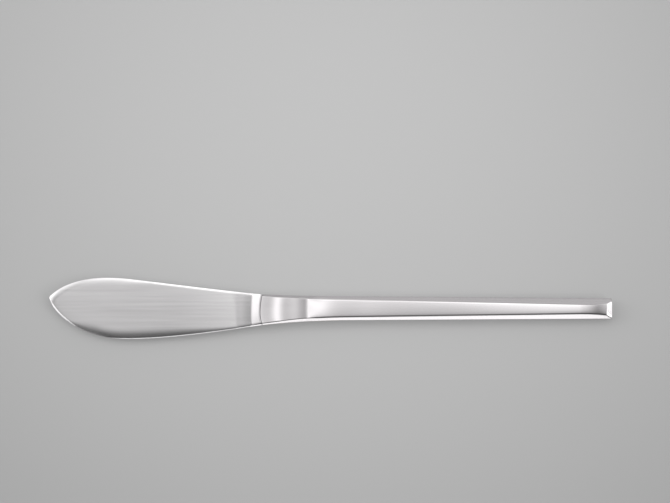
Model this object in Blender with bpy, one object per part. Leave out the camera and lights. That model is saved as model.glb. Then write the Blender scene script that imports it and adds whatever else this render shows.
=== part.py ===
"""Butter knife with a hollow steel handle, lying on the back of its handle.

The blade, its shoulder and its tang are one forging. Two pressed shells close round the tang, a braze
seam joins their rims and a cement filling beds the tang. Stations run along the knife from the blade's
tip, heights in the plan from the handle's centre line towards the spine, and depths from the parting plane
between the shells.
"""

import math

import bmesh
import bpy
import numpy as np
from mathutils import Vector
from mathutils.geometry import interpolate_bezier

# Blade in the plan: stations from the tip and reaches to each side of the centre line
BLADE_LENGTH = 0.0637
TIP_HEIGHT = 0.0030
CROWN_STATION = 0.0186
CROWN_HEIGHT = 0.0093
BELLY_STATION = 0.0240
BELLY_DEPTH = 0.0093
SHOULDER_LENGTH = 0.0029
ROOT_SPINE = 0.0045
ROOT_EDGE = 0.0056

# How far the outline's curves are pulled along their direction at each knot
TIP_PULL_SPINE = 0.0010
CROWN_PULL_TIP = 0.0140
CROWN_PULL_ROOT = 0.0030
ROOT_PULL_SPINE = 0.0145
TIP_PULL_EDGE = 0.0020
BELLY_PULL_TIP = 0.0172
BELLY_PULL_ROOT = 0.0110
ROOT_PULL_EDGE = 0.0100

# Blade across its thickness: a thin lens, a spine that falls to an upright wall and an edge that rolls off
ROOT_THICKNESS = 0.0017
TIP_THICKNESS = 0.0013
LENS_SHARE = 0.06
SPINE_SLOPE = 0.30
SPINE_ROLL_TIP = 0.0030
SPINE_ROLL_ROOT = 0.0011
SPINE_ROLL_SPAN = (0.0200, 0.0360)
EDGE_ROLL_TIP = 0.0004
EDGE_ROLL_BELLY = 0.0036
EDGE_ROLL_ROOT = 0.0011
EDGE_ROLL_GROWS = (0.0030, 0.0130)
EDGE_ROLL_SHRINKS = (0.0300, 0.0600)
EDGE_ROLL_POWER = 2.0
EDGE_BEVEL = 0.0003
HOLLOW_LENGTH = 0.0045
HOLLOW_RISE = 0.00020

# Handle in the plan: reaches at the joint, at the end of the neck's flare and at the far end
HANDLE_LENGTH = 0.1063
NECK_LENGTH = 0.0260
FRONT_SPINE = 0.0042
NECK_SPINE = 0.00357
END_SPINE = 0.0030
FRONT_EDGE = 0.0052
NECK_EDGE = 0.0037
END_EDGE = 0.0032
FRONT_SLOPE_SPINE = 0.06
FRONT_SLOPE_EDGE = 0.115
FLARE_PULL_FRONT = 0.0080
FLARE_PULL_BACK = 0.0070
END_CORNER = 0.0003

# Handle across its thickness: a scoop and a ridge, measured from the joint, then a level length and a nose
HANDLE_THICKNESS = 0.0047
SCOOP_THICKNESS = 0.0036
SCOOP_STATION = 0.0050
RIDGE_STATION = 0.0141
RIDGE_BLEND = 0.00004
NOSE_LENGTH = 0.0100
NOSE_DROP = 0.00044
FACET_LENGTH = 0.00175
FACET_SLOPE = 0.5
FACET_BLEND = 0.00005

# Chamfers in the plan, with how far they reach in for each unit of height, and the crowned face between them
JOINT_CHAMFER = 0.0005
NECK_CHAMFER_EDGE = 0.0012
NECK_CHAMFER_SPINE = 0.00075
END_CHAMFER = 0.0018
CHAMFER_RUN = 1.1
LEAST_LAND = 0.00025
LEAST_CHAMFER = 0.00002
CROWN_RISE = 0.00008
CROWN_FLAT = 0.35
TOP_FILLET = 0.0008
LAND_FILLET = 0.0002
MOUTH_BOW = 0.0007
MOUTH_CENTRE = 0.4

# Shells, seam, tang and filling inside the handle
WALL = 0.0007
JOINT_GAP = 0.00025
SEAM_GAP = 0.00020
SEAM_CLEARANCE = 0.00004
SHOULDER_EASE = 0.25
SHOULDER_STEP_SPINE = 0.00008
SHOULDER_STEP_EDGE = 0.00005
SHOULDER_STEP_FACE = 0.0001
SHOULDER_BLEND = 0.0003
RIM_ROUND = 0.0003
RIM_POWER = 3.0
TANG_LENGTH = 0.0380
TANG_WIDTH = 0.0050
TANG_END_WIDTH = 0.0034
TANG_END_SHARE = 0.65
TANG_CLEARANCE = 0.0004
FILLING_START = 0.0165
FILLING_CLEARANCE = 0.0003

# How finely the surfaces are divided
BLADE_STEPS = (18, 18, 8)
ACROSS_STEPS = 24
SCOOP_STEPS = 10
RIDGE_STEPS = 6
BODY_STEPS = 8
NOSE_STEPS = 7
CREASE_STEPS = 2
FACET_STEPS = 2
CORNER_STEPS = 3
TANG_STEPS = 4
CROWN_STEPS = 3
FILLET_STEPS = 3
CURVE_SAMPLES = 48
MERGE_DISTANCE = 1e-7
SMOOTH_ANGLE = math.radians(25)
FILLET_SHARE = 0.45

# Colours (linear), with roughness and metallic
SATIN_STEEL = ((0.60, 0.60, 0.61), 0.34, 1.0)
POLISHED_STEEL = ((0.66, 0.66, 0.67), 0.2, 1.0)
BRAZE_ALLOY = ((0.62, 0.58, 0.48), 0.3, 1.0)
CEMENT = ((0.52, 0.50, 0.47), 0.9, 0.0)

# Places and sizes that follow from those above
OVERALL_LENGTH = BLADE_LENGTH + HANDLE_LENGTH
ROOT_STATION = BLADE_LENGTH - SHOULDER_LENGTH
NECK_STATION = BLADE_LENGTH + NECK_LENGTH
RIDGE_AT = BLADE_LENGTH + RIDGE_STATION
NOSE_AT = OVERALL_LENGTH - NOSE_LENGTH
FACET_AT = OVERALL_LENGTH - FACET_LENGTH
END_DEPTH = HANDLE_THICKNESS / 2 - NOSE_DROP - FACET_SLOPE * FACET_LENGTH
FACET_STRETCH = math.hypot(1.0, FACET_SLOPE)
TANG_THICKNESS = SCOOP_THICKNESS - 2 * (WALL + TANG_CLEARANCE)
CHAMFER_INSET = (math.hypot(1.0, CHAMFER_RUN) - 1.0) / CHAMFER_RUN


def clear_scene():
    for old in list(bpy.data.objects):
        bpy.data.objects.remove(old, do_unlink=True)


def clamp_share(value):
    return min(max(value, 0.0), 1.0)


def mix(start, end, share):
    return start + (end - start) * share


def smooth_min(first, second, blend):
    """The smaller value, rounded off where the two come within the blend of each other."""
    overlap = max(blend - abs(first - second), 0.0) / blend
    return min(first, second) - overlap * overlap * blend / 4


def smooth_share(value, start, end):
    """A share that eases from 0 at the start to 1 at the end."""
    share = clamp_share((value - start) / (end - start))
    return share * share * (3.0 - 2.0 * share)


def eased_ramp(share, ease):
    """A ramp from 0 to 1 whose first part, up to the ease, curves up from level."""
    rise = share - ease / 2 if share > ease else share * share / (2 * ease)
    return rise / (1.0 - ease / 2)


def spread(start, end, count):
    """Evenly spaced values from the start up to, but without, the end."""
    return [mix(start, end, step / count) for step in range(count)]


def surface(name, colour, roughness, metallic):
    material = bpy.data.materials.new(name)
    material.use_nodes = True
    shader = material.node_tree.nodes["Principled BSDF"]
    shader.inputs["Base Color"].default_value = (*colour, 1.0)
    shader.inputs["Roughness"].default_value = roughness
    shader.inputs["Metallic"].default_value = metallic
    material.diffuse_color = (*colour, 1.0)
    return material


def add_object(name, bm, material, parent):
    """Turn the mesh into a named object with closed, outward and smooth faces."""
    bmesh.ops.remove_doubles(bm, verts=bm.verts, dist=MERGE_DISTANCE)
    bmesh.ops.recalc_face_normals(bm, faces=bm.faces)
    mesh = bpy.data.meshes.new(name)
    bm.to_mesh(mesh)
    bm.free()
    mesh.shade_smooth()
    mesh.set_sharp_from_angle(angle=SMOOTH_ANGLE)
    mesh.materials.append(material)
    thing = bpy.data.objects.new(name, mesh)
    thing.parent = parent
    bpy.context.scene.collection.objects.link(thing)
    return thing


def loft(rings):
    """Skin closed rings of equal count one after another and cap both ends."""
    bm = bmesh.new()
    rows = [[bm.verts.new(point) for point in ring] for ring in rings]
    for near, far in zip(rows, rows[1:]):
        for index in range(len(near)):
            bm.faces.new((near[index - 1], near[index], far[index], far[index - 1]))
    bm.faces.new(rows[0])
    bm.faces.new(rows[-1])
    return bm


def curve_through(knots, counts):
    """Points along cubic curves; each knot is (arriving handle, point, leaving handle)."""
    points = [knots[0][1]]
    for (_, start, leaving), (arriving, end, _), count in zip(knots, knots[1:], counts):
        points += interpolate_bezier(start, leaving, arriving, end, count + 1)[1:]
    return points


def blade_side(side, swell_station, swell, tip_pull, swell_pulls, root, root_pull, shoulder):
    """The blade's outline from the tip to the joint; side is 1 for the spine and -1 for the edge."""
    tip = Vector((0.0, TIP_HEIGHT))
    widest = Vector((swell_station, side * swell))
    base = Vector((ROOT_STATION, side * root))
    joint = Vector((BLADE_LENGTH, side * shoulder))
    along = Vector((1.0, 0.0))
    closing = (joint - base).normalized()
    knots = [
        (tip, tip, tip + Vector((0.0, side * tip_pull))),
        (widest - along * swell_pulls[0], widest, widest + along * swell_pulls[1]),
        (base - closing * root_pull, base, base),
        (joint, joint, joint),
    ]
    return curve_through(knots, BLADE_STEPS)


def roll_off(distance, roll, power):
    """How much of the full depth is reached at a distance from a rounded rim."""
    return math.sqrt(1.0 - (1.0 - clamp_share(distance / roll)) ** power)


def blade_depth(station):
    """Half thickness along the middle of the blade, with the hollow that leads up to the shoulder."""
    taper = mix(TIP_THICKNESS, ROOT_THICKNESS, clamp_share(station / ROOT_STATION)) / 2
    hollow = clamp_share((station - ROOT_STATION + HOLLOW_LENGTH) / HOLLOW_LENGTH)
    return taper + HOLLOW_RISE * hollow ** 2


def edge_share(station, to_edge):
    """How much of the blade's depth is left near its edge, which rolls off and ends in a narrow bevel."""
    roll = mix(EDGE_ROLL_TIP, EDGE_ROLL_BELLY, smooth_share(station, *EDGE_ROLL_GROWS))
    roll = mix(roll, EDGE_ROLL_ROOT, smooth_share(station, *EDGE_ROLL_SHRINKS))
    bevel = clamp_share(to_edge / EDGE_BEVEL)
    return bevel * roll_off(max(to_edge, EDGE_BEVEL), roll, EDGE_ROLL_POWER)


def spine_fall(station, to_spine):
    """How far the blade's face falls towards its spine, ever steeper up to the spine's slope."""
    roll = mix(SPINE_ROLL_TIP, SPINE_ROLL_ROOT, smooth_share(station, *SPINE_ROLL_SPAN))
    return SPINE_SLOPE * roll / 3 * (1.0 - clamp_share(to_spine / roll)) ** 3


def blade_face(station, across, width):
    """Half thickness at a place across the blade."""
    lens = 1.0 - LENS_SHARE * (2.0 * across - 1.0) ** 2
    full = blade_depth(station) * lens - spine_fall(station, (1.0 - across) * width)
    return full * edge_share(station, across * width)


def shoulder_depth(to_edge):
    """Half thickness of the shoulder's last section: a land and a chamfer on the edge side, then a flat."""
    face = handle_depth(BLADE_LENGTH, SHOULDER_STEP_FACE)
    land = (face - JOINT_CHAMFER / CHAMFER_RUN) * roll_off(to_edge, RIM_ROUND, RIM_POWER)
    return smooth_min(land + to_edge / CHAMFER_RUN, face, SHOULDER_BLEND)


def mouth_bow(across):
    """How far the joint bows back at a share of the width, counted from the edge side."""
    off_centre = across - MOUTH_CENTRE
    reach = MOUTH_CENTRE if off_centre < 0.0 else 1.0 - MOUTH_CENTRE
    return MOUTH_BOW * (off_centre / reach) ** 2


def across_shares():
    """Shares of a width from one rim to the other, closer together at the rims."""
    return [(1.0 - math.cos(math.pi * step / ACROSS_STEPS)) / 2 for step in range(ACROSS_STEPS + 1)]


def ring_from(halves):
    """Close a ring from the upper half's points by mirroring all but the first, on the edge."""
    lower = [Vector((x, y, -z)) for x, y, z in reversed(halves[1:])]
    return halves + lower


def blade_ring(edge, spine):
    """A section of the blade on the chord from its edge to its spine."""
    width = (spine - edge).length
    points = []
    for across in across_shares():
        place = edge.lerp(spine, across)
        along = clamp_share((place.x - ROOT_STATION) / SHOULDER_LENGTH)
        depth = blade_face(place.x, across, width)
        depth = mix(depth, shoulder_depth(across * width), eased_ramp(along, SHOULDER_EASE))
        points.append(Vector((place.x + along * mouth_bow(across), place.y, depth)))
    return ring_from(points)


def tang_ring(station, grown=0.0):
    """A section of the tang, which narrows and thins towards its end."""
    share = clamp_share((station - BLADE_LENGTH) / TANG_LENGTH)
    width = mix(TANG_WIDTH, TANG_END_WIDTH, share) + 2 * grown
    half = mix(1.0, TANG_END_SHARE, share) * TANG_THICKNESS / 2 + grown
    points = []
    for across in across_shares():
        rim = min(across, 1.0 - across) * width
        depth = half * roll_off(rim, RIM_ROUND, RIM_POWER)
        points.append(Vector((station, (across - 0.5) * width, depth)))
    return ring_from(points)


def make_blade(parent):
    edge = blade_side(-1, BELLY_STATION, BELLY_DEPTH, TIP_PULL_EDGE, (BELLY_PULL_TIP, BELLY_PULL_ROOT),
                      ROOT_EDGE, ROOT_PULL_EDGE, FRONT_EDGE - SHOULDER_STEP_EDGE)
    spine = blade_side(1, CROWN_STATION, CROWN_HEIGHT, TIP_PULL_SPINE, (CROWN_PULL_TIP, CROWN_PULL_ROOT),
                       ROOT_SPINE, ROOT_PULL_SPINE, FRONT_SPINE - SHOULDER_STEP_SPINE)
    rings = [blade_ring(low, high) for low, high in zip(edge, spine)]
    tang_end = BLADE_LENGTH + TANG_LENGTH
    stations = spread(BLADE_LENGTH, tang_end, TANG_STEPS) + [tang_end]
    rings += [tang_ring(station) for station in stations]
    add_object("blade", loft(rings), surface("satin_steel", *SATIN_STEEL), parent)


def flare_table(front, front_slope, neck, end):
    """Sampled reach of one side of the handle: a flare that runs out into a straight taper."""
    taper = (end - neck) / (HANDLE_LENGTH - NECK_LENGTH)
    start = Vector((BLADE_LENGTH, front))
    stop = Vector((NECK_STATION, neck))
    leaving = start + Vector((1.0, -front_slope)) * FLARE_PULL_FRONT
    arriving = stop - Vector((1.0, taper)) * FLARE_PULL_BACK
    points = interpolate_bezier(start, leaving, arriving, stop, CURVE_SAMPLES)
    points.append(Vector((OVERALL_LENGTH, end)))
    return [point.x for point in points], [point.y for point in points]


SPINE_SIDE = flare_table(FRONT_SPINE, FRONT_SLOPE_SPINE, NECK_SPINE, END_SPINE)
EDGE_SIDE = flare_table(FRONT_EDGE, FRONT_SLOPE_EDGE, NECK_EDGE, END_EDGE)


def body_depth(station):
    """Half thickness along the handle's middle: the scoop, the ridge and a level length."""
    rise = (HANDLE_THICKNESS - SCOOP_THICKNESS) / 2
    from_scoop = (station - BLADE_LENGTH - SCOOP_STATION) / (RIDGE_STATION - SCOOP_STATION)
    scoop = SCOOP_THICKNESS / 2 + rise * from_scoop ** 2
    return smooth_min(scoop, HANDLE_THICKNESS / 2, RIDGE_BLEND)


def handle_depth(station, inset):
    """Half thickness set in from the outside, with the nose that bends down to the end's facet."""
    bend = max(station - NOSE_AT, 0.0) / (FACET_AT - NOSE_AT)
    top = body_depth(station) - NOSE_DROP * bend ** 2 - inset
    facet = END_DEPTH + FACET_SLOPE * (OVERALL_LENGTH - station) - inset * FACET_STRETCH
    return smooth_min(top, facet, FACET_BLEND)


def chamfer_width(station, neck):
    """Width of a chamfer in the plan, which grows from the joint over the neck and then to the end."""
    front = mix(JOINT_CHAMFER, neck, smooth_share(station, BLADE_LENGTH, RIDGE_AT))
    return mix(front, END_CHAMFER, clamp_share((station - RIDGE_AT) / (OVERALL_LENGTH - RIDGE_AT)))


def land_depth(station, neck):
    """Half height of the upright land that a chamfer leaves on its side."""
    side = body_depth(station) - CROWN_RISE
    return max(side - chamfer_width(station, neck) / CHAMFER_RUN, LEAST_LAND)


def corner_pull(station, inset):
    """How far the end's rounded corners pull each side in."""
    radius = max(END_CORNER - inset, 0.0)
    beyond = max(station - (OVERALL_LENGTH - inset - radius), 0.0)
    return radius - math.sqrt(max(radius ** 2 - beyond ** 2, 0.0))


def rounded(points, radii):
    """A line through the points whose corners with a radius become short curves."""
    line = [points[0]]
    for before, corner, after, radius in zip(points, points[1:], points[2:], radii):
        if radius == 0.0:
            line.append(corner)
            continue
        back = before - corner
        ahead = after - corner
        reach = radius * math.tan((math.pi - back.angle(ahead)) / 2)
        reach = min(reach, FILLET_SHARE * back.length, FILLET_SHARE * ahead.length)
        start = corner + back.normalized() * reach
        stop = corner + ahead.normalized() * reach
        for step in range(FILLET_STEPS + 1):
            share = step / FILLET_STEPS
            line.append(start.lerp(corner, share).lerp(corner.lerp(stop, share), share))
    return line + [points[-1]]


def crown_shares():
    """Places across the top face, from -1 to 1, at which the crowned sides of its flat middle are drawn."""
    sides = [mix(CROWN_FLAT, 1.0, step / CROWN_STEPS) for step in range(CROWN_STEPS)]
    return [-share for share in reversed(sides)] + sides


def half_section(station, inset):
    """Upper half of the handle's section, set in from the outside, from the edge side to the spine side."""
    lands = []
    pulls = []
    for neck in (NECK_CHAMFER_EDGE, NECK_CHAMFER_SPINE):
        land = land_depth(station, neck) - CHAMFER_INSET * inset
        cut_back = max(LEAST_LAND - land, 0.0)
        lands.append(land + cut_back)
        pulls.append(inset + cut_back * CHAMFER_RUN + corner_pull(station, inset))
    low = pulls[0] - np.interp(station, *EDGE_SIDE)
    high = np.interp(station, *SPINE_SIDE) - pulls[1]
    side = max(handle_depth(station, inset) - CROWN_RISE, max(lands) + LEAST_CHAMFER)
    face_low = low + (side - lands[0]) * CHAMFER_RUN
    face_high = high - (side - lands[1]) * CHAMFER_RUN
    middle = (face_low + face_high) / 2
    half = (face_high - face_low) / 2
    face = []
    for share in crown_shares():
        fall = max(abs(share) - CROWN_FLAT, 0.0) / (1.0 - CROWN_FLAT)
        face.append(Vector((middle + share * half, side + CROWN_RISE * (1.0 - fall ** 2))))
    rim = SEAM_GAP / 2
    corners = [Vector((low, rim)), Vector((low, lands[0])), Vector((face_low, side))]
    corners += face
    corners += [Vector((face_high, side)), Vector((high, lands[1])), Vector((high, rim))]
    radii = [LAND_FILLET, TOP_FILLET] + [0.0] * len(face) + [TOP_FILLET, LAND_FILLET]
    return rounded(corners, radii)


def grip_stations(start, inset):
    """Stations from the start to the handle's end, closer together at the facet and at the end's corners."""
    end = OVERALL_LENGTH - inset
    crease = FACET_AT - inset * (FACET_STRETCH - 1.0) / FACET_SLOPE
    reach = FACET_BLEND / FACET_SLOPE
    stations = spread(start, NOSE_AT, BODY_STEPS)
    stations += spread(NOSE_AT, crease - reach, NOSE_STEPS)
    stations += spread(crease - reach, crease + reach, CREASE_STEPS)
    stations += spread(crease + reach, end - END_CORNER, FACET_STEPS)
    return stations + spread(end - END_CORNER, end, CORNER_STEPS) + [end]


def shell_stations(inset):
    """Stations of a shell from its mouth, closer together at the ridge."""
    ridge_slope = (HANDLE_THICKNESS - SCOOP_THICKNESS) / (RIDGE_STATION - SCOOP_STATION)
    reach = 2 * RIDGE_BLEND / ridge_slope
    stations = spread(BLADE_LENGTH + JOINT_GAP, RIDGE_AT - reach, SCOOP_STEPS)
    stations += spread(RIDGE_AT - reach, RIDGE_AT + reach, RIDGE_STEPS)
    return stations + grip_stations(RIDGE_AT + reach, inset)


def shell_rows(inset):
    """Half sections along the handle in space, with the mouth bowed like the blade's shoulder."""
    rows = []
    for station in shell_stations(inset):
        section = half_section(station, inset)
        low = section[0].x
        width = section[-1].x - low
        fade = clamp_share((RIDGE_AT - station) / (RIDGE_STATION - JOINT_GAP))
        row = []
        for height, depth in section:
            bow = fade * mouth_bow((height - low) / width)
            row.append(Vector((station + bow, height, depth)))
        rows.append(row)
    return rows


def add_tray(bm, rows):
    """Skin the half sections into an open tray and close its far end."""
    grid = [[bm.verts.new(point) for point in row] for row in rows]
    for near, far in zip(grid, grid[1:]):
        for index in range(1, len(near)):
            bm.faces.new((near[index - 1], near[index], far[index], far[index - 1]))
    bm.faces.new(grid[-1])


def make_shells(parent):
    bm = bmesh.new()
    add_tray(bm, shell_rows(0.0))
    add_tray(bm, shell_rows(WALL))
    bmesh.ops.bridge_loops(bm, edges=[edge for edge in bm.edges if edge.is_boundary])
    front = add_object("handle_front_shell", bm, surface("polished_steel", *POLISHED_STEEL), parent)
    back = bpy.data.objects.new("handle_back_shell", front.data)
    back.parent = parent
    back.scale.z = -1.0
    bpy.context.scene.collection.objects.link(back)


def make_braze_seam(parent):
    """A thin strip between the shells' rims, along one side, round the end and back along the other."""
    half = SEAM_GAP / 2 - SEAM_CLEARANCE
    outer = shell_rows(0.0)
    inner = shell_rows(WALL)
    pairs = [(out[0], into[0]) for out, into in zip(outer, inner)]
    pairs += [(out[-1], into[-1]) for out, into in reversed(list(zip(outer, inner)))]
    rings = []
    for out, into in pairs:
        corners = ((out, -half), (out, half), (into, half), (into, -half))
        rings.append([Vector((point.x, point.y, depth)) for point, depth in corners])
    add_object("braze_seam", loft(rings), surface("braze_alloy", *BRAZE_ALLOY), parent)


def make_tang_room(material, parent):
    """The room that the filling leaves for the tang, longer than the tang at both ends."""
    start = BLADE_LENGTH + FILLING_START / 2
    stop = BLADE_LENGTH + TANG_LENGTH + FILLING_CLEARANCE
    rings = [tang_ring(station, FILLING_CLEARANCE) for station in spread(start, stop, TANG_STEPS) + [stop]]
    cutter = add_object("tang_room", loft(rings), material, parent)
    cutter.hide_render = True
    cutter.display_type = "WIRE"
    return cutter


def make_filling(parent):
    inset = WALL + FILLING_CLEARANCE
    rings = []
    for station in grip_stations(BLADE_LENGTH + FILLING_START, inset):
        upper = [Vector((station, point.x, point.y)) for point in half_section(station, inset)]
        rings.append(upper + [Vector((x, y, -z)) for x, y, z in reversed(upper)])
    cement = surface("cement", *CEMENT)
    filling = add_object("handle_filling", loft(rings), cement, parent)
    room = filling.modifiers.new("tang_room", "BOOLEAN")
    room.operation = "DIFFERENCE"
    room.solver = "EXACT"
    room.object = make_tang_room(cement, parent)


def make_frame():
    """An empty at the tip on the parting plane, placed so that the knife lies centred on the ground."""
    frame = bpy.data.objects.new("knife_frame", None)
    frame.location = (-OVERALL_LENGTH / 2, (BELLY_DEPTH - CROWN_HEIGHT) / 2, HANDLE_THICKNESS / 2)
    bpy.context.scene.collection.objects.link(frame)
    return frame


def main():
    clear_scene()
    frame = make_frame()
    make_blade(frame)
    make_shells(frame)
    make_braze_seam(frame)
    make_filling(frame)


main()
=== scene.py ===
"""Looks of the butter knife: its finish, its light and its camera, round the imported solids.

The blade and both handle shells are drawn again as fine surfaces, close to their solids, so that reflections
run smoothly over them. The braze seam and the filling keep their solids. Stations run along the knife from
the blade's tip, heights in the plan from the handle's centre line towards the spine, and depths from the
parting plane between the shells. Sizes are in metres.
"""

import math

import bmesh
import bpy
import numpy as np
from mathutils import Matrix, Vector
from mathutils.geometry import interpolate_bezier


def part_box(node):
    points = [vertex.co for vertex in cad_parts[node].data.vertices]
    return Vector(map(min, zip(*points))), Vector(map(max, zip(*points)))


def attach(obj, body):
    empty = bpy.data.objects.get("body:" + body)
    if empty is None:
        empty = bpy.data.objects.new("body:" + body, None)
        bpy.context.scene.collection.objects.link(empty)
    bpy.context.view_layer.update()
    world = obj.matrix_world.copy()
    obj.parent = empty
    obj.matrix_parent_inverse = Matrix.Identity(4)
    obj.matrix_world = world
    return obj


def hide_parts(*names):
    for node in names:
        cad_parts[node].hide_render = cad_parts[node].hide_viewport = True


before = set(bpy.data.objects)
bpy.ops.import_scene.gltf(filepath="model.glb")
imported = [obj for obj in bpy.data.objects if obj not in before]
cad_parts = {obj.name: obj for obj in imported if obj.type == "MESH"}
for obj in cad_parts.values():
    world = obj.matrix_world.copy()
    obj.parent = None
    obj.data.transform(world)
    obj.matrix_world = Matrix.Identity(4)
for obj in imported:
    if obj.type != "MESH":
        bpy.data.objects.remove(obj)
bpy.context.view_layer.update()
blade_low, blade_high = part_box("blade")
front_low, front_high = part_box("handle_front_shell")
back_low, back_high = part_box("handle_back_shell")

# Main sizes, from the solids and the gap at their joint; the crown is drawn a little lower than theirs
JOINT_GAP = 0.00025
CROWN_EASE = 0.00014
TIP_X = blade_low.x
PARTING_Z = (front_low.z + back_high.z) / 2
OVERALL_LENGTH = front_high.x - TIP_X
BLADE_LENGTH = front_low.x - JOINT_GAP - TIP_X
TANG_LENGTH = blade_high.x - TIP_X - BLADE_LENGTH
HANDLE_LENGTH = OVERALL_LENGTH - BLADE_LENGTH
HANDLE_THICKNESS = front_high.z - back_low.z
SEAM_GAP = front_low.z - back_high.z
CROWN_HEIGHT = blade_high.y - CROWN_EASE
BELLY_DEPTH = -blade_low.y
FRONT_SPINE = front_high.y
FRONT_EDGE = -front_low.y

# Blade in the plan, with how far the outline's curves are pulled at each knot
TIP_HEIGHT = 0.0030
CROWN_STATION = 0.0172
BELLY_STATION = 0.0240
SHOULDER_LENGTH = 0.0029
ROOT_SPINE = 0.00447
ROOT_SLOPE_SPINE = 0.110
ROOT_EDGE = 0.0056
TIP_PULL_SPINE = 0.0010
CROWN_PULL_TIP = 0.0118
CROWN_PULL_ROOT = 0.0070
ROOT_PULL_SPINE = 0.0340
TIP_PULL_EDGE = 0.0020
BELLY_PULL_TIP = 0.0172
BELLY_PULL_ROOT = 0.0110
ROOT_PULL_EDGE = 0.0100

# Blade, shoulder and tang across their thickness
ROOT_THICKNESS = 0.0017
TIP_THICKNESS = 0.0013
LENS_SHARE = 0.06
ROLL_POWER = 1.5
SPINE_SLOPE_TIP = 0.27
SPINE_SLOPE_CROWN = 0.20
SPINE_SLOPE_ROOT = 0.35
SPINE_SLOPE_SPAN = (0.0020, 0.0120)
SPINE_ROLL_TIP = 0.0024
SPINE_ROLL_ROOT = 0.00085
SPINE_ROLL_SPAN = (0.0200, 0.0320)
EDGE_SLOPE_TIP = 0.26
EDGE_SLOPE = 0.38
EDGE_SLOPE_GROWS = (0.0120, 0.0240)
EDGE_ROLL_TIP = 0.0003
EDGE_ROLL_BELLY = 0.0033
EDGE_ROLL_ROOT = 0.0011
EDGE_ROLL_GROWS = (0.0040, 0.0140)
EDGE_ROLL_SHRINKS = (0.0300, 0.0600)
EDGE_BEVEL_TIP = 0.0005
EDGE_BEVEL_THIN = 0.00006
EDGE_BEVEL = 0.0003
BEVEL_THINS = (0.0050, 0.0095)
BEVEL_WIDENS = (0.0170, 0.0240)
BEVEL_SLOPE_TIP = 0.76
BEVEL_SLOPE = 0.85
BEVEL_STEEPENS = (0.0, 0.0045)
LEAST_EDGE = 0.00004
HOLLOW_LENGTH = 0.0039
HOLLOW_RISE = 0.00023
HOLLOW_POWER = 1.4
SHOULDER_EASE = 0.36
SHOULDER_STEP_SPINE = 0.00016
SHOULDER_STEP_EDGE = 0.00005
SHOULDER_STEP_FACE = 0.0001
SHOULDER_BLEND = 0.0003
LIP_START = 0.92
LIP_DROP = 0.000127
LIP_FADE = 0.0008
MOUTH_GAP = 0.00015
MOUTH_BOW = 0.0007
MOUTH_CENTRE = 0.4
TANG_WIDTH = 0.0050
TANG_END_WIDTH = 0.0034
TANG_END_SHARE = 0.65
TANG_ROUND = 0.0005
TANG_SLOPE = 0.8
TANG_CLEARANCE = 0.0004

# Handle in the plan
NECK_LENGTH = 0.0260
NECK_SPINE = 0.00357
END_SPINE = 0.0030
NECK_EDGE = 0.0037
END_EDGE = 0.0032
FRONT_SLOPE_SPINE = 0.06
FRONT_SLOPE_EDGE = 0.115
FLARE_PULL_FRONT = 0.0080
FLARE_PULL_BACK = 0.0070
END_CORNER = 0.0003

# Handle across its thickness, with the scoop, the ridge and the crest measured from the joint
SCOOP_THICKNESS = 0.0036
SCOOP_STATION = 0.0052
RIDGE_STATION = 0.0146
RIDGE_BLEND = 0.00003
CREST_STATION = 0.0200
CREST_LEAD = 0.0090
CREST_TAIL = 0.0120
CREST_RISE = 0.00008
NOSE_LENGTH = 0.0100
NOSE_DROP = 0.00044
FACET_LENGTH = 0.0016
FACET_SLOPE = 0.5
FACET_BLEND = 0.00003
JOINT_CHAMFERS = (0.0005, 0.0007)
NECK_CHAMFERS = (0.00095, 0.0010)
END_CHAMFERS = (0.0016, 0.0022)
NECK_RUN = 1.02
GRIP_RUN = 1.1
LEAST_LAND = 0.00025
LEAST_CHAMFER = 0.00002
CROWN_RISE = 0.00008
CROWN_LEAD = 0.0040
SCOOP_FILLETS = (0.0005, 0.00015)
TOP_FILLET = 0.0010
LAND_FILLET = 0.0002
FILLET_SHARE = 0.48
WALL = 0.0007

# How finely the surfaces are divided, and how they are merged and shaded
BLADE_STEPS = (60, 60, 20)
ACROSS_STEPS = 80
SCOOP_STEPS = 36
RIDGE_STEPS = 16
BODY_STEPS = 40
NOSE_STEPS = 24
FACET_STEPS = 36
TANG_STEPS = 4
CROWN_STEPS = 16
FILLET_STEPS = 8
SPAN_STEPS = 3
CURVE_SAMPLES = 160
MERGE_DISTANCE = 1e-7
SMOOTH_ANGLE = math.radians(25)

# Places that follow from those above
ROOT_STATION = BLADE_LENGTH - SHOULDER_LENGTH
NECK_STATION = BLADE_LENGTH + NECK_LENGTH
RIDGE_AT = BLADE_LENGTH + RIDGE_STATION
CREST_AT = BLADE_LENGTH + CREST_STATION
NOSE_AT = OVERALL_LENGTH - NOSE_LENGTH
FACET_AT = OVERALL_LENGTH - FACET_LENGTH
LEVEL_DEPTH = HANDLE_THICKNESS / 2 - CREST_RISE
END_DEPTH = LEVEL_DEPTH - NOSE_DROP - FACET_SLOPE * FACET_LENGTH
TANG_THICKNESS = SCOOP_THICKNESS - 2 * (WALL + TANG_CLEARANCE)
CHAMFER_REACH = math.tan(math.atan(1.0 / GRIP_RUN) / 2)

# Image and camera: where the knife's middle lies in the image, and how the camera looks down on it
IMAGE_WIDTH = 670
IMAGE_HEIGHT = 503
METRES_PER_PIXEL = 0.0003025
KNIFE_PIXEL = (330.5, 308.3)
CAMERA_HEIGHT = 0.55
CAMERA_LEAN = math.radians(2.0)
SENSOR_WIDTH = 36.0

# Grain of the finishes: how often it comes along the knife, across it and up, and how detailed it is
STREAK_SCALE = (35.0, 1500.0, 1500.0)
STREAK_DETAIL = 3.0
CLOUD_SCALE = (70.0, 260.0, 260.0)
CLOUD_DETAIL = 1.0
CLOUD_SHARE = 0.35
SPOT_DETAIL = 4.0

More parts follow.
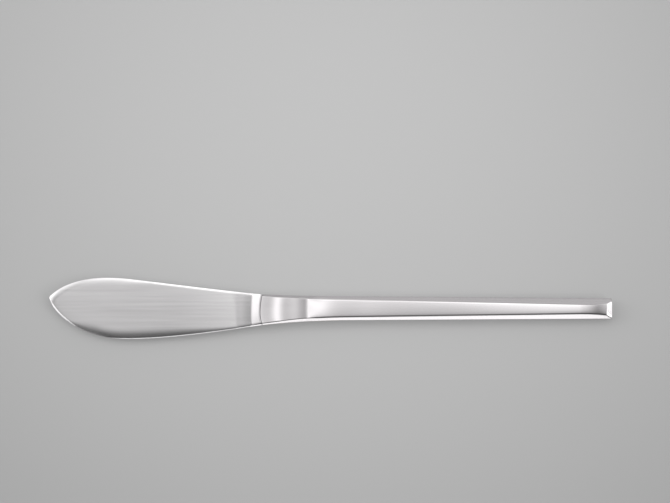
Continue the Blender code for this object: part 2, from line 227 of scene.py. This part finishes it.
# Steel of the blade and the handle, with fine streaks
SATIN_STEEL = {
    "dark": (0.52, 0.51, 0.515),
    "light": (0.68, 0.67, 0.675),
    "roughness": (0.15, 0.19),
    "anisotropy": 0.7,
    "streak_height": 1e-6,
}
POLISHED_STEEL = {
    "dark": (0.66, 0.635, 0.645),
    "light": (0.73, 0.71, 0.72),
    "roughness": (0.10, 0.13),
    "anisotropy": 0.55,
    "streak_height": 3e-7,
}

# Mottled surfaces of the tang, the seam and the filling; the tang's steel is painted far darker than steel,
# as the shade seen in the gap at the joint
# Painted shade: the tang is unpolished steel, but its colour is made nearly black so that the narrow gap at
# the joint reads dark.
FORGED_STEEL_DARKENED_AS_SHADE = {
    "dark": (0.05, 0.05, 0.05),
    "light": (0.12, 0.115, 0.11),
    "metallic": 1.0,
    "roughness": 0.7,
    "grain": 3000.0,
}
BRAZE_ALLOY = {
    "dark": (0.55, 0.51, 0.41),
    "light": (0.68, 0.64, 0.54),
    "metallic": 1.0,
    "roughness": 0.3,
    "grain": 4000.0,
}
CEMENT = {
    "dark": (0.42, 0.40, 0.37),
    "light": (0.60, 0.58, 0.55),
    "metallic": 0.0,
    "roughness": 0.9,
    "grain": 2500.0,
}

# Ceiling: brightness by the angle from overhead, in degrees, across and along the knife
OVERHEAD = 0.5
CEILING_ACROSS = (
    (-90, 0.25), (-80, 0.4), (-62, 0.4), (-52, 0.2), (-43, 0.11), (-35, 0.15), (-22, 0.24), (-14, 0.45),
    (-8, 0.68), (-4, 0.86), (0, 1.0), (4, 1.13), (8, 1.25), (14, 1.45), (22, 1.75), (34, 1.85), (42, 1.4),
    (50, 1.0), (70, 0.84), (90, 0.9),
)
CEILING_ALONG = (
    (-90, 1.0), (-40, 1.0), (-24, 0.85), (-16, 0.56), (-13, 0.48), (-11, 0.62), (-9.5, 0.9), (-8, 0.88),
    (-6, 0.74), (-4.4, 0.67), (-3.2, 1.0), (-2, 1.68), (-1, 1.52), (0.3, 0.84), (1.5, 0.75), (4, 0.78),
    (5.3, 1.0), (7.3, 1.23), (8.6, 0.93), (11, 0.81), (13.2, 0.63), (16, 0.31), (18, 0.48), (20, 0.65),
    (24, 0.72), (40, 0.72), (90, 0.72),
)

# Softboxes facing the knife: direction, elevation, distance, width, height and brightness
SOFTBOXES = {
    "left_softbox": (190, 36, 0.7, 0.9, 0.8, 0.33),
    "left_strip": (198, 8, 0.6, 0.6, 0.14, 1.4),
    "left_fill": (163, 29, 0.8, 0.45, 0.38, 2.5),
    "front_strip": (-90, 7, 0.6, 0.38, 0.14, 1.25),
    "right_softbox": (0, 28, 0.6, 0.4, 0.32, 0.6),
    "right_fill": (-22, 38, 0.8, 0.45, 0.42, 2.8),
    "rear_softbox": (119, 56, 0.7, 0.26, 0.28, 0.5),
}

# Floor and sky: the middle of a pool of light painted into the floor's colour, how far that painted light
# fades towards painted shade at the edges, and the glow that keeps the shadow on it light
FLOOR_SIZE = 6.0
# The floor's colour carries a painted pool of light: palest at its middle, with painted shade towards the
# edges.
FLOOR_PAINTED_POOL_MIDDLE = (0.0, 0.07, 0.0)
FLOOR_PAINTED_POOL_FADE = 0.3
FLOOR_PAINTED_POOL_COLOUR = 0.372
FLOOR_PAINTED_SHADE_COLOUR = 0.18
FLOOR_ROUGHNESS = 0.9
FLOOR_GLOW = 0.42
SKY_COLOUR = 0.6


def clamp_share(value):
    return min(max(value, 0.0), 1.0)


def mix(start, end, share):
    return start + (end - start) * share


def smooth_min(first, second, blend):
    """The smaller value, rounded off where the two come within the blend of each other."""
    overlap = max(blend - abs(first - second), 0.0) / blend
    return min(first, second) - overlap * overlap * blend / 4


def smooth_share(value, start, end):
    """A share that eases from 0 at the start to 1 at the end."""
    share = clamp_share((value - start) / (end - start))
    return share * share * (3.0 - 2.0 * share)


def eased_ramp(share, ease):
    """A ramp from 0 to 1 whose first part, up to the ease, curves up from level."""
    rise = share - ease / 2 if share > ease else share * share / (2 * ease)
    return rise / (1.0 - ease / 2)


def spread(start, end, count):
    """Evenly spaced values from the start up to, but without, the end."""
    return [mix(start, end, step / count) for step in range(count)]


def to_world(station, height, depth):
    return Vector((TIP_X + station, height, PARTING_Z + depth))


def add_piece(name, bm, materials, solid):
    """Turn the mesh into a smooth piece that stands for a solid of the frame."""
    bmesh.ops.remove_doubles(bm, verts=bm.verts, dist=MERGE_DISTANCE)
    bmesh.ops.recalc_face_normals(bm, faces=bm.faces)
    mesh = bpy.data.meshes.new(name)
    bm.to_mesh(mesh)
    bm.free()
    mesh.shade_smooth()
    mesh.set_sharp_from_angle(angle=SMOOTH_ANGLE)
    for material in materials:
        mesh.materials.append(material)
    piece = bpy.data.objects.new(name, mesh)
    bpy.context.scene.collection.objects.link(piece)
    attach(piece, "root")
    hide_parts(solid)


def curve_through(knots, counts):
    """Points along cubic curves; each knot is (arriving handle, point, leaving handle)."""
    points = [knots[0][1]]
    for (_, start, leaving), (arriving, end, _), count in zip(knots, knots[1:], counts):
        points += interpolate_bezier(start, leaving, arriving, end, count + 1)[1:]
    return points


def blade_side(side, swell_station, swell, tip_pull, swell_pulls, root, root_slope, root_pull, shoulder):
    """The blade's outline from the tip to the joint; side is 1 for the spine and -1 for the edge."""
    tip = Vector((0.0, TIP_HEIGHT))
    widest = Vector((swell_station, side * swell))
    base = Vector((ROOT_STATION, side * root))
    joint = Vector((BLADE_LENGTH, side * shoulder))
    along = Vector((1.0, 0.0))
    closing = Vector((1.0, -side * root_slope)).normalized()
    knots = [
        (tip, tip, tip + Vector((0.0, side * tip_pull))),
        (widest - along * swell_pulls[0], widest, widest + along * swell_pulls[1]),
        (base - closing * root_pull, base, base),
        (joint, joint, joint),
    ]
    return curve_through(knots, BLADE_STEPS)


def distances_to(places, line):
    """Shortest distances in the plan from places to a line of points."""
    points = np.array(line)
    along = points[1:] - points[:-1]
    from_start = np.array(places)[:, None] - points[:-1]
    share = (from_start * along).sum(axis=2) / (along ** 2).sum(axis=1)
    off = from_start - np.clip(share, 0.0, 1.0)[:, :, None] * along
    return np.sqrt((off ** 2).sum(axis=2)).min(axis=1)


def blade_depth(station):
    """Half thickness along the middle of the blade, with the hollow that leads up to the shoulder."""
    taper = mix(TIP_THICKNESS, ROOT_THICKNESS, clamp_share(station / ROOT_STATION)) / 2
    hollow = max(station - ROOT_STATION + HOLLOW_LENGTH, 0.0) / HOLLOW_LENGTH
    return taper + HOLLOW_RISE * hollow ** HOLLOW_POWER


def rim_fall(distance, roll, slope):
    """How far a face falls near its rim, ever steeper up to the slope at the rim itself."""
    near = 1.0 - clamp_share(distance / roll)
    return slope * roll / (ROLL_POWER + 1.0) * near ** (ROLL_POWER + 1.0)


def bevel_width(station):
    """Width of the edge's bevel, which thins out between the tip and the belly."""
    width = mix(EDGE_BEVEL_TIP, EDGE_BEVEL_THIN, smooth_share(station, *BEVEL_THINS))
    return mix(width, EDGE_BEVEL, smooth_share(station, *BEVEL_WIDENS))


def blade_face(station, across, to_edge, to_spine):
    """Half thickness at a place of the blade, by its share across and its distances from both rims."""
    lens = 1.0 - LENS_SHARE * (2.0 * across - 1.0) ** 2
    back = smooth_share(station, *SPINE_ROLL_SPAN)
    spine_roll = mix(SPINE_ROLL_TIP, SPINE_ROLL_ROOT, back)
    spine_slope = mix(SPINE_SLOPE_TIP, SPINE_SLOPE_CROWN, smooth_share(station, *SPINE_SLOPE_SPAN))
    spine_fall = rim_fall(to_spine, spine_roll, mix(spine_slope, SPINE_SLOPE_ROOT, back))
    edge_roll = mix(EDGE_ROLL_TIP, EDGE_ROLL_BELLY, smooth_share(station, *EDGE_ROLL_GROWS))
    edge_roll = mix(edge_roll, EDGE_ROLL_ROOT, smooth_share(station, *EDGE_ROLL_SHRINKS))
    edge_slope = mix(EDGE_SLOPE_TIP, EDGE_SLOPE, smooth_share(station, *EDGE_SLOPE_GROWS))
    bevel = bevel_width(station)
    edge_fall = rim_fall(max(to_edge, bevel), edge_roll, edge_slope)
    bevel_slope = mix(BEVEL_SLOPE_TIP, BEVEL_SLOPE, smooth_share(station, *BEVEL_STEEPENS))
    bevel_fall = bevel_slope * max(bevel - to_edge, 0.0)
    return max(blade_depth(station) * lens - max(spine_fall, edge_fall + bevel_fall), LEAST_EDGE)


def shoulder_depth(to_edge):
    """Half thickness of the shoulder's last section: a land and a chamfer on the edge side, then a flat."""
    face = handle_depth(BLADE_LENGTH, SHOULDER_STEP_FACE)
    return smooth_min(face + (to_edge - JOINT_CHAMFERS[0]) / NECK_RUN, face, SHOULDER_BLEND)


def lip_drop(along, to_edge):
    """How far the shoulder rounds over at a share along it, just before the joint and clear of its edge."""
    return LIP_DROP * clamp_share(to_edge / LIP_FADE) * max(along - LIP_START, 0.0) / (1.0 - LIP_START)


def mouth_bow(across):
    """How far the joint bows back at a share of the width, counted from the edge side."""
    off_centre = across - MOUTH_CENTRE
    reach = MOUTH_CENTRE if off_centre < 0.0 else 1.0 - MOUTH_CENTRE
    return MOUTH_BOW * (off_centre / reach) ** 2


def across_shares():
    """Shares of a width from one rim to the other, closer together at the rims."""
    return [(1.0 - math.cos(math.pi * step / ACROSS_STEPS)) / 2 for step in range(ACROSS_STEPS + 1)]


def ring_from(halves):
    """Close a ring by mirroring the upper half's points in the parting plane."""
    lower = [(station, height, -depth) for station, height, depth in reversed(halves)]
    return [to_world(*point) for point in halves + lower]


def blade_ring(low, high, edge, spine):
    """A section of the blade on the chord from a point of its edge to one of its spine."""
    shares = across_shares()
    places = [low.lerp(high, across) for across in shares]
    rims = zip(distances_to(places, edge), distances_to(places, spine))
    points = []
    for across, place, (to_edge, to_spine) in zip(shares, places, rims):
        along = clamp_share((place.x - ROOT_STATION) / SHOULDER_LENGTH)
        depth = blade_face(place.x, across, to_edge, to_spine)
        depth = mix(depth, shoulder_depth(to_edge), eased_ramp(along, SHOULDER_EASE))
        depth -= lip_drop(along, to_edge)
        points.append((place.x + along * mouth_bow(across), place.y, depth))
    return ring_from(points)


def tang_ring(station):
    """A section of the tang, which narrows and thins towards its end."""
    share = clamp_share((station - BLADE_LENGTH) / TANG_LENGTH)
    width = mix(TANG_WIDTH, TANG_END_WIDTH, share)
    half = mix(1.0, TANG_END_SHARE, share) * TANG_THICKNESS / 2
    points = []
    for across in across_shares():
        rim = min(across, 1.0 - across) * width
        points.append((station, (across - 0.5) * width, half - rim_fall(rim, TANG_ROUND, TANG_SLOPE)))
    return ring_from(points)


def loft(rings, zones):
    """Skin closed rings one after another and cap both ends; zones gives each stretch its material."""
    bm = bmesh.new()
    rows = [[bm.verts.new(point) for point in ring] for ring in rings]
    for near, far, zone in zip(rows, rows[1:], zones):
        for index in range(len(near)):
            face = bm.faces.new((near[index - 1], near[index], far[index], far[index - 1]))
            face.material_index = zone
    bm.faces.new(rows[0])
    bm.faces.new(rows[-1]).material_index = zones[-1]
    return bm


def make_blade(satin, polished, forged_and_shade):
    """The blade in three zones: satin up to the root, polished on the shoulder, and on the tang steel from
    the forge, painted far darker than steel as the shade seen in the gap at the joint.
    """
    joint_edge = FRONT_EDGE - SHOULDER_STEP_EDGE
    closing_edge = (ROOT_EDGE - joint_edge) / SHOULDER_LENGTH
    edge = blade_side(-1, BELLY_STATION, BELLY_DEPTH, TIP_PULL_EDGE, (BELLY_PULL_TIP, BELLY_PULL_ROOT),
                      ROOT_EDGE, closing_edge, ROOT_PULL_EDGE, joint_edge)
    spine = blade_side(1, CROWN_STATION, CROWN_HEIGHT, TIP_PULL_SPINE, (CROWN_PULL_TIP, CROWN_PULL_ROOT),
                       ROOT_SPINE, ROOT_SLOPE_SPINE, ROOT_PULL_SPINE, FRONT_SPINE - SHOULDER_STEP_SPINE)
    rings = [blade_ring(low, high, edge, spine) for low, high in zip(edge, spine)]
    tang_end = BLADE_LENGTH + TANG_LENGTH
    stations = spread(BLADE_LENGTH, tang_end, TANG_STEPS) + [tang_end]
    rings += [tang_ring(station) for station in stations]
    zones = [0] * sum(BLADE_STEPS[:2]) + [1] * BLADE_STEPS[2] + [2] * (TANG_STEPS + 1)
    add_piece("satin_blade", loft(rings, zones), (satin, polished, forged_and_shade), "blade")


def flare_table(front, front_slope, neck, end):
    """Sampled reach of one side of the handle: a flare that runs out into a straight taper."""
    taper = (end - neck) / (HANDLE_LENGTH - NECK_LENGTH)
    start = Vector((BLADE_LENGTH, front))
    stop = Vector((NECK_STATION, neck))
    leaving = start + Vector((1.0, -front_slope)) * FLARE_PULL_FRONT
    arriving = stop - Vector((1.0, taper)) * FLARE_PULL_BACK
    points = interpolate_bezier(start, leaving, arriving, stop, CURVE_SAMPLES)
    points.append(Vector((OVERALL_LENGTH, end)))
    return [point.x for point in points], [point.y for point in points]


# Reach of the handle's two sides
SPINE_SIDE = flare_table(FRONT_SPINE, FRONT_SLOPE_SPINE, NECK_SPINE, END_SPINE)
EDGE_SIDE = flare_table(FRONT_EDGE, FRONT_SLOPE_EDGE, NECK_EDGE, END_EDGE)


def body_depth(station):
    """Half thickness along the handle's middle: the scoop, the ridge, a slight crest and a level length."""
    rise = (HANDLE_THICKNESS - SCOOP_THICKNESS) / 2
    from_scoop = (station - BLADE_LENGTH - SCOOP_STATION) / (RIDGE_STATION - SCOOP_STATION)
    scoop = SCOOP_THICKNESS / 2 + rise * from_scoop ** 2
    away = station - CREST_AT
    turn = math.pi / 2 * clamp_share(abs(away) / (CREST_LEAD if away < 0.0 else CREST_TAIL))
    return smooth_min(scoop, LEVEL_DEPTH + CREST_RISE * math.cos(turn) ** 2, RIDGE_BLEND)


def handle_depth(station, inset):
    """Half thickness set in from the outside, with the nose that bends down to the end's facet."""
    bend = max(station - NOSE_AT, 0.0) / (FACET_AT - NOSE_AT)
    top = body_depth(station) - NOSE_DROP * bend ** 2 - inset
    facet = END_DEPTH + FACET_SLOPE * (OVERALL_LENGTH - station) - inset * math.hypot(1.0, FACET_SLOPE)
    return smooth_min(top, facet, FACET_BLEND)


def behind_ridge(station):
    """A share that rises to 1 where the scoop gives way to the crowned length of the handle."""
    return smooth_share(station, RIDGE_AT, RIDGE_AT + CROWN_LEAD)


def chamfer_width(station, joint, neck, end):
    """Width of a chamfer in the plan, which grows from the joint over the neck and then to the end."""
    front = mix(joint, neck, smooth_share(station, BLADE_LENGTH, RIDGE_AT))
    return mix(front, end, clamp_share((station - RIDGE_AT) / (OVERALL_LENGTH - RIDGE_AT)))


def chamfer_run(station):
    """How far the chamfers reach in for each unit of height: they lie a little flatter behind the ridge."""
    return mix(NECK_RUN, GRIP_RUN, behind_ridge(station))


def crown_rise(station):
    """How far the crowned top face rises over its sides, behind the ridge."""
    return CROWN_RISE * behind_ridge(station)


def land_depth(station, widths):
    """Half height of the upright land that a chamfer leaves, by its widths at the joint, neck and end."""
    side = body_depth(station) - crown_rise(station)
    return max(side - chamfer_width(station, *widths) / chamfer_run(station), LEAST_LAND)


def corner_pull(station, inset):
    """How far the end's rounded corners pull each side in."""
    radius = max(END_CORNER - inset, 0.0)
    beyond = max(station - (OVERALL_LENGTH - inset - radius), 0.0)
    return radius - math.sqrt(max(radius ** 2 - beyond ** 2, 0.0))


def rounded(points, radii):
    """A line through the points whose corners with a radius become short curves."""
    line = [points[0]]
    for before, corner, after, radius in zip(points, points[1:], points[2:], radii):
        if radius == 0.0:
            line.append(corner)
            continue
        back = before - corner
        ahead = after - corner
        reach = radius * math.tan((math.pi - back.angle(ahead)) / 2)
        reach = min(reach, FILLET_SHARE * back.length, FILLET_SHARE * ahead.length)
        start = corner + back.normalized() * reach
        stop = corner + ahead.normalized() * reach
        line += [line[-1].lerp(start, step / SPAN_STEPS) for step in range(1, SPAN_STEPS)]
        for step in range(FILLET_STEPS + 1):
            share = step / FILLET_STEPS
            line.append(start.lerp(corner, share).lerp(corner.lerp(stop, share), share))
    return line + [points[-1]]


def half_section(station, inset):
    """Upper half of the handle's section, set in from the outside, from the edge side to the spine side."""
    run = chamfer_run(station)
    crown = crown_rise(station)
    lands = []
    pulls = []
    for widths in zip(JOINT_CHAMFERS, NECK_CHAMFERS, END_CHAMFERS):
        land = land_depth(station, widths) - inset * (math.hypot(1.0, run) - 1.0) / run
        cut_back = max(LEAST_LAND - land, 0.0)
        lands.append(land + cut_back)
        pulls.append(inset + cut_back * run + corner_pull(station, inset))
    low = pulls[0] - np.interp(station, *EDGE_SIDE)
    high = np.interp(station, *SPINE_SIDE) - pulls[1]
    side = max(handle_depth(station, inset) - crown, max(lands) + LEAST_CHAMFER)
    face_low = low + (side - lands[0]) * run
    face_high = high - (side - lands[1]) * run
    middle = (face_low + face_high) / 2
    half = (face_high - face_low) / 2
    fillets = [mix(scoop, TOP_FILLET, behind_ridge(station)) for scoop in SCOOP_FILLETS]
    crowned = 1.0 - max(fillets) * CHAMFER_REACH / FILLET_SHARE / half
    face = []
    for share in spread(-crowned, crowned, CROWN_STEPS) + [crowned]:
        face.append(Vector((middle + share * half, side + crown * (1.0 - share ** 2))))
    rim = SEAM_GAP / 2
    corners = [Vector((low, rim)), Vector((low, lands[0])), Vector((face_low, side))]
    corners += face
    corners += [Vector((face_high, side)), Vector((high, lands[1])), Vector((high, rim))]
    radii = [LAND_FILLET, fillets[0]] + [0.0] * len(face) + [fillets[1], LAND_FILLET]
    return rounded(corners, radii)


def shell_stations(inset):
    """Stations of a shell from its mouth, closer together at the ridge and on the nose."""
    ridge_slope = (HANDLE_THICKNESS - SCOOP_THICKNESS) / (RIDGE_STATION - SCOOP_STATION)
    reach = 2 * RIDGE_BLEND / ridge_slope
    stations = spread(BLADE_LENGTH + MOUTH_GAP, RIDGE_AT - reach, SCOOP_STEPS)
    stations += spread(RIDGE_AT - reach, RIDGE_AT + reach, RIDGE_STEPS)
    stations += spread(RIDGE_AT + reach, NOSE_AT, BODY_STEPS)
    stations += spread(NOSE_AT, FACET_AT - FACET_LENGTH, NOSE_STEPS)
    end = OVERALL_LENGTH - inset
    return stations + spread(FACET_AT - FACET_LENGTH, end, FACET_STEPS) + [end]


def shell_rows(inset, side):
    """Half sections along the handle from its bowed mouth; side is 1 in front and -1 behind."""
    rows = []
    for station in shell_stations(inset):
        section = half_section(station, inset)
        low = section[0].x
        width = section[-1].x - low
        fade = clamp_share((RIDGE_AT - station) / (RIDGE_STATION - MOUTH_GAP))
        row = []
        for height, depth in section:
            bow = fade * mouth_bow((height - low) / width)
            row.append(to_world(station + bow, height, side * depth))
        rows.append(row)
    return rows


def add_tray(bm, rows):
    """Skin the half sections into an open tray and close its far end."""
    grid = [[bm.verts.new(point) for point in row] for row in rows]
    for near, far in zip(grid, grid[1:]):
        for index in range(1, len(near)):
            bm.faces.new((near[index - 1], near[index], far[index], far[index - 1]))
    bm.faces.new(grid[-1])


def make_shell(name, side, solid, material):
    """One half of the handle: an outer and an inner tray, joined along their rims."""
    bm = bmesh.new()
    add_tray(bm, shell_rows(0.0, side))
    add_tray(bm, shell_rows(WALL, side))
    bmesh.ops.bridge_loops(bm, edges=[edge for edge in bm.edges if edge.is_boundary])
    add_piece(name, bm, (material,), solid)


def add_node(tree, kind, **properties):
    made = tree.nodes.new(kind)
    for key, value in properties.items():
        setattr(made, key, value)
    return made


def new_material(name, metallic):
    material = bpy.data.materials.new(name)
    material.use_nodes = True
    shader = material.node_tree.nodes["Principled BSDF"]
    shader.inputs["Metallic"].default_value = metallic
    return material, material.node_tree, shader


def add_noise(tree, scale, detail):
    """Noise over the piece, drawn out by a scale of its own along each axis."""
    place = add_node(tree, "ShaderNodeTexCoord")
    stretch = add_node(tree, "ShaderNodeMapping")
    stretch.inputs["Scale"].default_value = scale
    tree.links.new(place.outputs["Object"], stretch.inputs["Vector"])
    noise = add_node(tree, "ShaderNodeTexNoise")
    noise.inputs["Scale"].default_value = 1.0
    noise.inputs["Detail"].default_value = detail
    tree.links.new(stretch.outputs["Vector"], noise.inputs["Vector"])
    return noise.outputs["Fac"]


def add_ramp(tree, value, dark, light):
    """Colours from dark to light by a value between 0 and 1."""
    ramp = add_node(tree, "ShaderNodeValToRGB")
    ramp.color_ramp.elements[0].color = (*dark, 1.0)
    ramp.color_ramp.elements[1].color = (*light, 1.0)
    tree.links.new(value, ramp.inputs["Fac"])
    return ramp.outputs["Color"]


def brushed_steel(name, dark, light, roughness, anisotropy, streak_height):
    """Steel with fine streaks along the knife, which widen its reflections across the streaks."""
    material, tree, shader = new_material(name, metallic=1.0)
    shader.inputs["Anisotropic"].default_value = anisotropy
    tangent = add_node(tree, "ShaderNodeTangent", direction_type="RADIAL", axis="X")
    tree.links.new(tangent.outputs["Tangent"], shader.inputs["Tangent"])
    streaks = add_noise(tree, STREAK_SCALE, STREAK_DETAIL)
    clouds = add_noise(tree, CLOUD_SCALE, CLOUD_DETAIL)
    wear = add_node(tree, "ShaderNodeMix", data_type="FLOAT")
    wear.inputs["Factor"].default_value = CLOUD_SHARE
    tree.links.new(streaks, wear.inputs["A"])
    tree.links.new(clouds, wear.inputs["B"])
    tree.links.new(add_ramp(tree, wear.outputs["Result"], dark, light), shader.inputs["Base Color"])
    rough = add_node(tree, "ShaderNodeMapRange")
    rough.inputs["To Min"].default_value = roughness[0]
    rough.inputs["To Max"].default_value = roughness[1]
    tree.links.new(streaks, rough.inputs["Value"])
    tree.links.new(rough.outputs["Result"], shader.inputs["Roughness"])
    bump = add_node(tree, "ShaderNodeBump")
    bump.inputs["Distance"].default_value = streak_height
    tree.links.new(streaks, bump.inputs["Height"])
    tree.links.new(bump.outputs["Normal"], shader.inputs["Normal"])
    return material


def grainy(name, dark, light, metallic, roughness, grain):
    """A mottled surface between two colours."""
    material, tree, shader = new_material(name, metallic)
    shader.inputs["Roughness"].default_value = roughness
    spots = add_noise(tree, (grain, grain, grain), SPOT_DETAIL)
    tree.links.new(add_ramp(tree, spots, dark, light), shader.inputs["Base Color"])
    return material


def dress(name, material):
    """Give a solid that isn't drawn again its material."""
    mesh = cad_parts[name].data
    mesh.materials.clear()
    mesh.materials.append(material)


def seen_share(tree, share):
    """The share for camera rays, direct or by way of metal or glass, and 0 for all other rays."""
    ray = add_node(tree, "ShaderNodeLightPath")
    seen = ray.outputs["Is Camera Ray"]
    for kind in ("Is Glossy Ray", "Is Transmission Ray"):
        either = add_node(tree, "ShaderNodeMath", operation="MAXIMUM")
        tree.links.new(seen, either.inputs[0])
        tree.links.new(ray.outputs[kind], either.inputs[1])
        seen = either.outputs["Value"]
    scaled = add_node(tree, "ShaderNodeMath", operation="MULTIPLY")
    scaled.inputs[1].default_value = share
    tree.links.new(seen, scaled.inputs[0])
    return scaled.outputs["Value"]


def make_floor():
    """Pale paper with a pool of light painted into its colour, so that it darkens a little away from the
    middle; it shows a share of that colour as glow and keeps a light shadow of the knife.
    """
    bpy.ops.mesh.primitive_plane_add(size=FLOOR_SIZE)
    floor = bpy.context.active_object
    floor.name = "floor"
    material, tree, shader = new_material("floor_paper_with_painted_light_pool", metallic=0.0)
    shader.inputs["Roughness"].default_value = FLOOR_ROUGHNESS
    shader.inputs["Specular IOR Level"].default_value = 0.0
    place = add_node(tree, "ShaderNodeTexCoord")
    middle = add_node(tree, "ShaderNodeMapping", vector_type="TEXTURE")
    middle.inputs["Location"].default_value = FLOOR_PAINTED_POOL_MIDDLE
    middle.inputs["Scale"].default_value = (FLOOR_PAINTED_POOL_FADE, FLOOR_PAINTED_POOL_FADE, FLOOR_PAINTED_POOL_FADE)
    tree.links.new(place.outputs["Object"], middle.inputs["Vector"])
    # Painted pool of light: the paper's colour fades from palest at the middle to painted shade at the
    # edges.
    fade = add_node(tree, "ShaderNodeTexGradient", gradient_type="SPHERICAL")
    tree.links.new(middle.outputs["Vector"], fade.inputs["Vector"])
    paper = add_ramp(tree, fade.outputs["Fac"], [FLOOR_PAINTED_SHADE_COLOUR] * 3, [FLOOR_PAINTED_POOL_COLOUR] * 3)
    paper.node.color_ramp.interpolation = "EASE"
    tree.links.new(paper, shader.inputs["Base Color"])
    # The glow shows the painted pool of light as well.
    tree.links.new(paper, shader.inputs["Emission Color"])
    tree.links.new(seen_share(tree, FLOOR_GLOW), shader.inputs["Emission Strength"])
    floor.data.materials.append(material)


def ceiling_ramp(tree, direction, axis, stops):
    """Brightness of the ceiling by the angle from overhead along one axis; overhead is the ramp's middle."""
    parts = add_node(tree, "ShaderNodeSeparateXYZ")
    tree.links.new(direction, parts.inputs["Vector"])
    angle = add_node(tree, "ShaderNodeMath", operation="ARCTAN2")
    tree.links.new(parts.outputs[axis], angle.inputs[0])
    tree.links.new(parts.outputs["Z"], angle.inputs[1])
    share = add_node(tree, "ShaderNodeMapRange")
    share.inputs["From Min"].default_value = -math.pi / 2
    share.inputs["From Max"].default_value = math.pi / 2
    tree.links.new(angle.outputs["Value"], share.inputs["Value"])
    ramp = add_node(tree, "ShaderNodeValToRGB")
    elements = ramp.color_ramp.elements
    while len(elements) < len(stops):
        elements.new(OVERHEAD)
    for element, (degrees, light) in zip(elements, stops):
        element.position = degrees / 180 + OVERHEAD
        element.color = (light, light, light, 1.0)
    tree.links.new(share.outputs["Result"], ramp.inputs["Fac"])
    return ramp.outputs["Color"]


def make_ceiling():
    """A pale ceiling over the knife, which looks plain grey where the camera sees it directly."""
    world = bpy.data.worlds.new("ceiling")
    world.use_nodes = True
    bpy.context.scene.world = world
    tree = world.node_tree
    background = tree.nodes["Background"]
    place = add_node(tree, "ShaderNodeTexCoord")
    direction = place.outputs["Generated"]
    across = ceiling_ramp(tree, direction, "Y", CEILING_ACROSS)
    along = ceiling_ramp(tree, direction, "X", CEILING_ALONG)
    light = add_node(tree, "ShaderNodeMix", data_type="RGBA", blend_type="MULTIPLY")
    light.inputs["Factor"].default_value = 1.0
    tree.links.new(across, light.inputs["A"])
    tree.links.new(along, light.inputs["B"])
    ray = add_node(tree, "ShaderNodeLightPath")
    seen = add_node(tree, "ShaderNodeMix", data_type="RGBA")
    seen.inputs["B"].default_value = (SKY_COLOUR, SKY_COLOUR, SKY_COLOUR, 1.0)
    tree.links.new(ray.outputs["Is Camera Ray"], seen.inputs["Factor"])
    tree.links.new(light.outputs["Result"], seen.inputs["A"])
    tree.links.new(seen.outputs["Result"], background.inputs["Color"])


def make_softbox(name, azimuth, elevation, distance, width, height, light):
    """A lamp that faces the knife's middle; azimuth 0 is the handle's end and 90 the spine side."""
    turn = math.radians(azimuth)
    lift = math.radians(elevation)
    away = Vector((math.cos(turn) * math.cos(lift), math.sin(turn) * math.cos(lift), math.sin(lift)))
    data = bpy.data.lights.new(name, "AREA")
    data.shape = "RECTANGLE"
    data.size = width
    data.size_y = height
    data.energy = light * math.pi * width * height
    lamp = bpy.data.objects.new(name, data)
    lamp.location = away * distance
    lamp.rotation_euler = away.to_track_quat("Z", "Y").to_euler()
    bpy.context.scene.collection.objects.link(lamp)


def make_camera():
    """Look down on the knife, leaning towards its edge side, with its middle at its place in the image."""
    knife = Vector((0.0, 0.0, PARTING_Z))
    right = (IMAGE_WIDTH / 2 - KNIFE_PIXEL[0]) * METRES_PER_PIXEL
    up = (KNIFE_PIXEL[1] - IMAGE_HEIGHT / 2) * METRES_PER_PIXEL
    target = knife + Vector((right, up, 0.0))
    eye = Vector((right, -math.tan(CAMERA_LEAN) * CAMERA_HEIGHT, CAMERA_HEIGHT))
    data = bpy.data.cameras.new("camera")
    camera = bpy.data.objects.new("camera", data)
    bpy.context.scene.collection.objects.link(camera)
    camera.location = eye
    camera.rotation_euler = (target - eye).to_track_quat("-Z", "Y").to_euler()
    axis = (target - eye).normalized()
    data.sensor_width = SENSOR_WIDTH
    data.lens = SENSOR_WIDTH * (knife - eye).dot(axis) / (IMAGE_WIDTH * METRES_PER_PIXEL)
    bpy.context.scene.camera = camera


satin = brushed_steel("satin_steel", **SATIN_STEEL)
polished = brushed_steel("polished_steel", **POLISHED_STEEL)
# The tang's steel is painted dark as the shade in the joint's gap.
forged_and_shade = grainy("forged_steel_darkened_as_shade", **FORGED_STEEL_DARKENED_AS_SHADE)
make_blade(satin, polished, forged_and_shade)
make_shell("front_shell", 1, "handle_front_shell", polished)
make_shell("back_shell", -1, "handle_back_shell", polished)
dress("braze_seam", grainy("braze_alloy", **BRAZE_ALLOY))
dress("handle_filling", grainy("cement", **CEMENT))
make_floor()
make_ceiling()
for softbox, values in SOFTBOXES.items():
    make_softbox(softbox, *values)
make_camera()
bpy.context.scene.view_settings.view_transform = "Standard"
